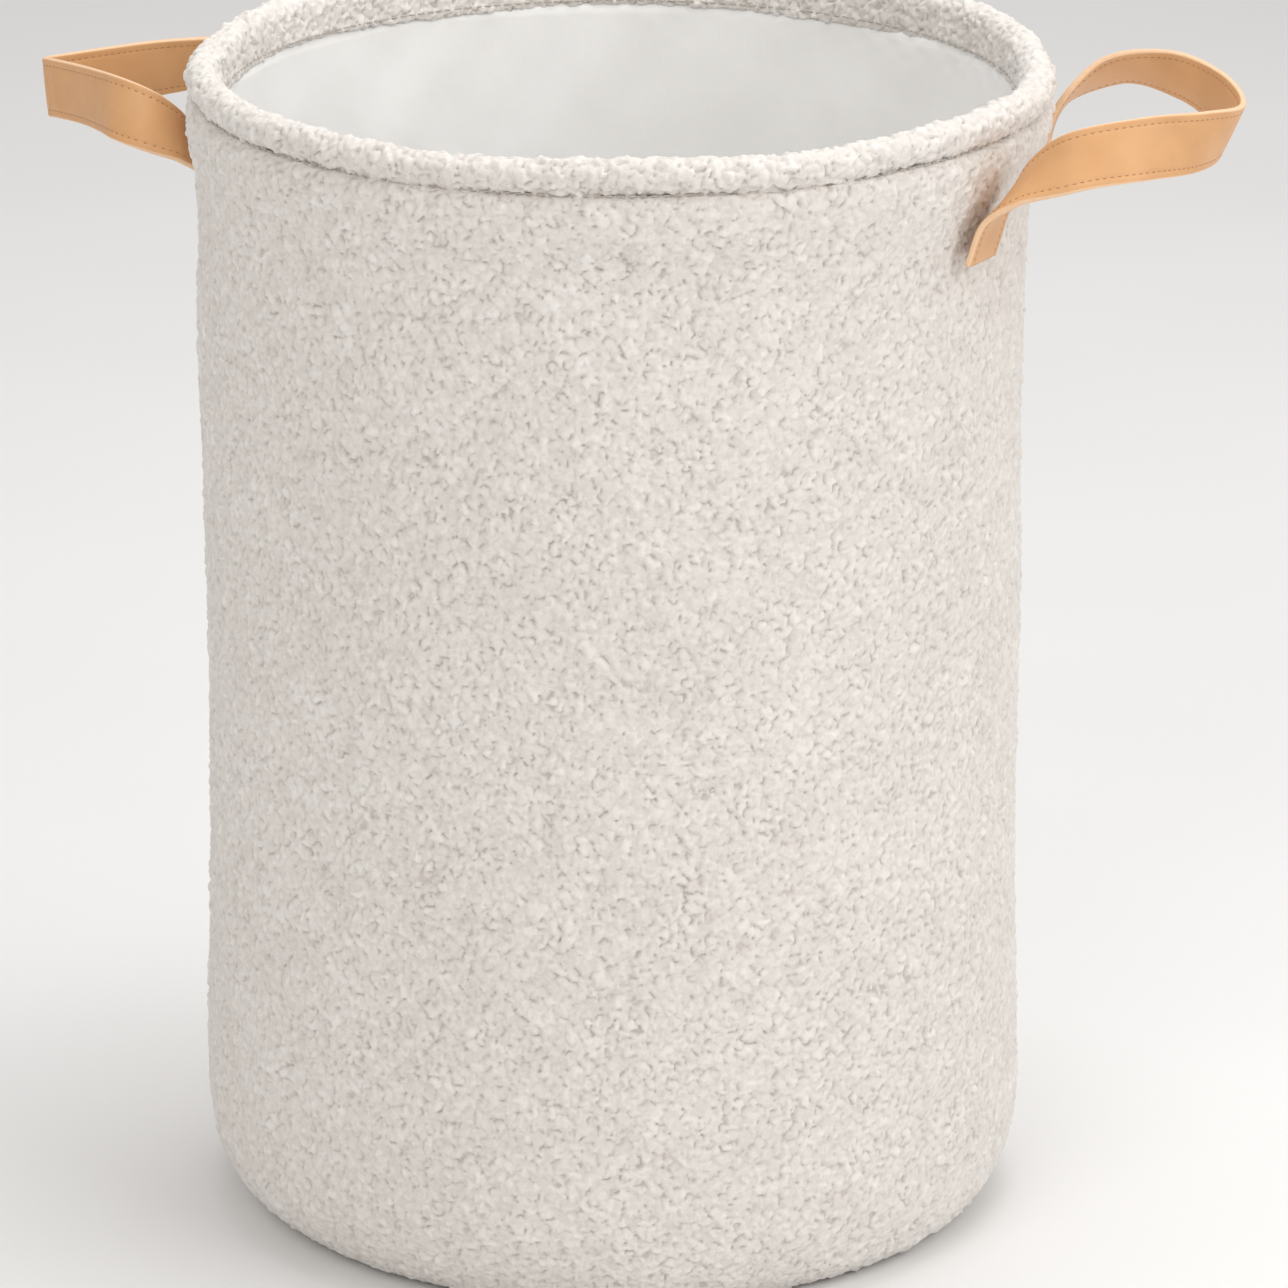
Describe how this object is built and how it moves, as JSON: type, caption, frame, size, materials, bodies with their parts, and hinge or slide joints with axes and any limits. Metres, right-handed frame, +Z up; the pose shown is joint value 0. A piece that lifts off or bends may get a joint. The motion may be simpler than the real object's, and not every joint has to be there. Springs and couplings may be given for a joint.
{
  "type": "fabric storage bin",
  "caption": "Tall round self-standing storage bin in looped bouclé cloth, with a wired rolled rim, a smooth pale lining and two stitched strap loop handles that swing up and down.",
  "frame": {"origin": "centre of the underside, on the surface that the bin stands on", "axes": "+Z up; +X through the middle of the right handle; -Y is the front"},
  "size_m": [0.5249, 0.36, 0.4979],
  "materials": {
    "boucle": "looped pile, matte",
    "lining": "smooth coated cloth, matte",
    "interlining": "needle-felt, matte",
    "board": "pressed fibreboard, matte",
    "wire": "drawn",
    "ferrule": "crimped, satin",
    "cloth_thread": "spun thread, matte",
    "strap": "fine grain, soft satin",
    "strap_thread": "waxed thread, satin"
  },
  "bodies": {
    "root": {"outer_wall": "boucle", "rim_roll": "boucle", "outer_base": "boucle", "wall_interlining": "interlining", "base_board": "board", "lining_wall": "lining", "lining_base": "lining", "rim_wire": "wire", "rim_wire_casing": "interlining", "rim_wire_ferrule": "ferrule", "rim_seam_thread": "cloth_thread", "facing_seam_thread": "cloth_thread", "base_seam_thread": "cloth_thread", "lining_seam_thread": "cloth_thread", "right_handle_front_tab": "strap", "right_handle_rear_tab": "strap", "right_handle_tab_stitches": "strap_thread", "left_handle_front_tab": "strap", "left_handle_rear_tab": "strap", "left_handle_tab_stitches": "strap_thread"},
    "right_handle": {"right_handle_grip": "strap", "right_handle_edge_threads": "strap_thread", "right_handle_front_leg": "strap", "right_handle_rear_leg": "strap"},
    "left_handle": {"left_handle_grip": "strap", "left_handle_edge_threads": "strap_thread", "left_handle_front_leg": "strap", "left_handle_rear_leg": "strap"}
  },
  "joints": [
    {"name": "right_handle_swing", "type": "hinge", "parent": "root", "child": "right_handle", "pos_m": [0.165, 0, 0.456], "axis": [0, -1, 0], "range_deg": [-82, 62], "deforming": ["right_handle_front_leg", "right_handle_rear_leg"]},
    {"name": "left_handle_swing", "type": "hinge", "parent": "root", "child": "left_handle", "pos_m": [-0.1625, 0.02865, 0.456], "axis": [0.1736, 0.9848, 0], "range_deg": [-65, 79], "deforming": ["left_handle_front_leg", "left_handle_rear_leg"]}
  ]
}
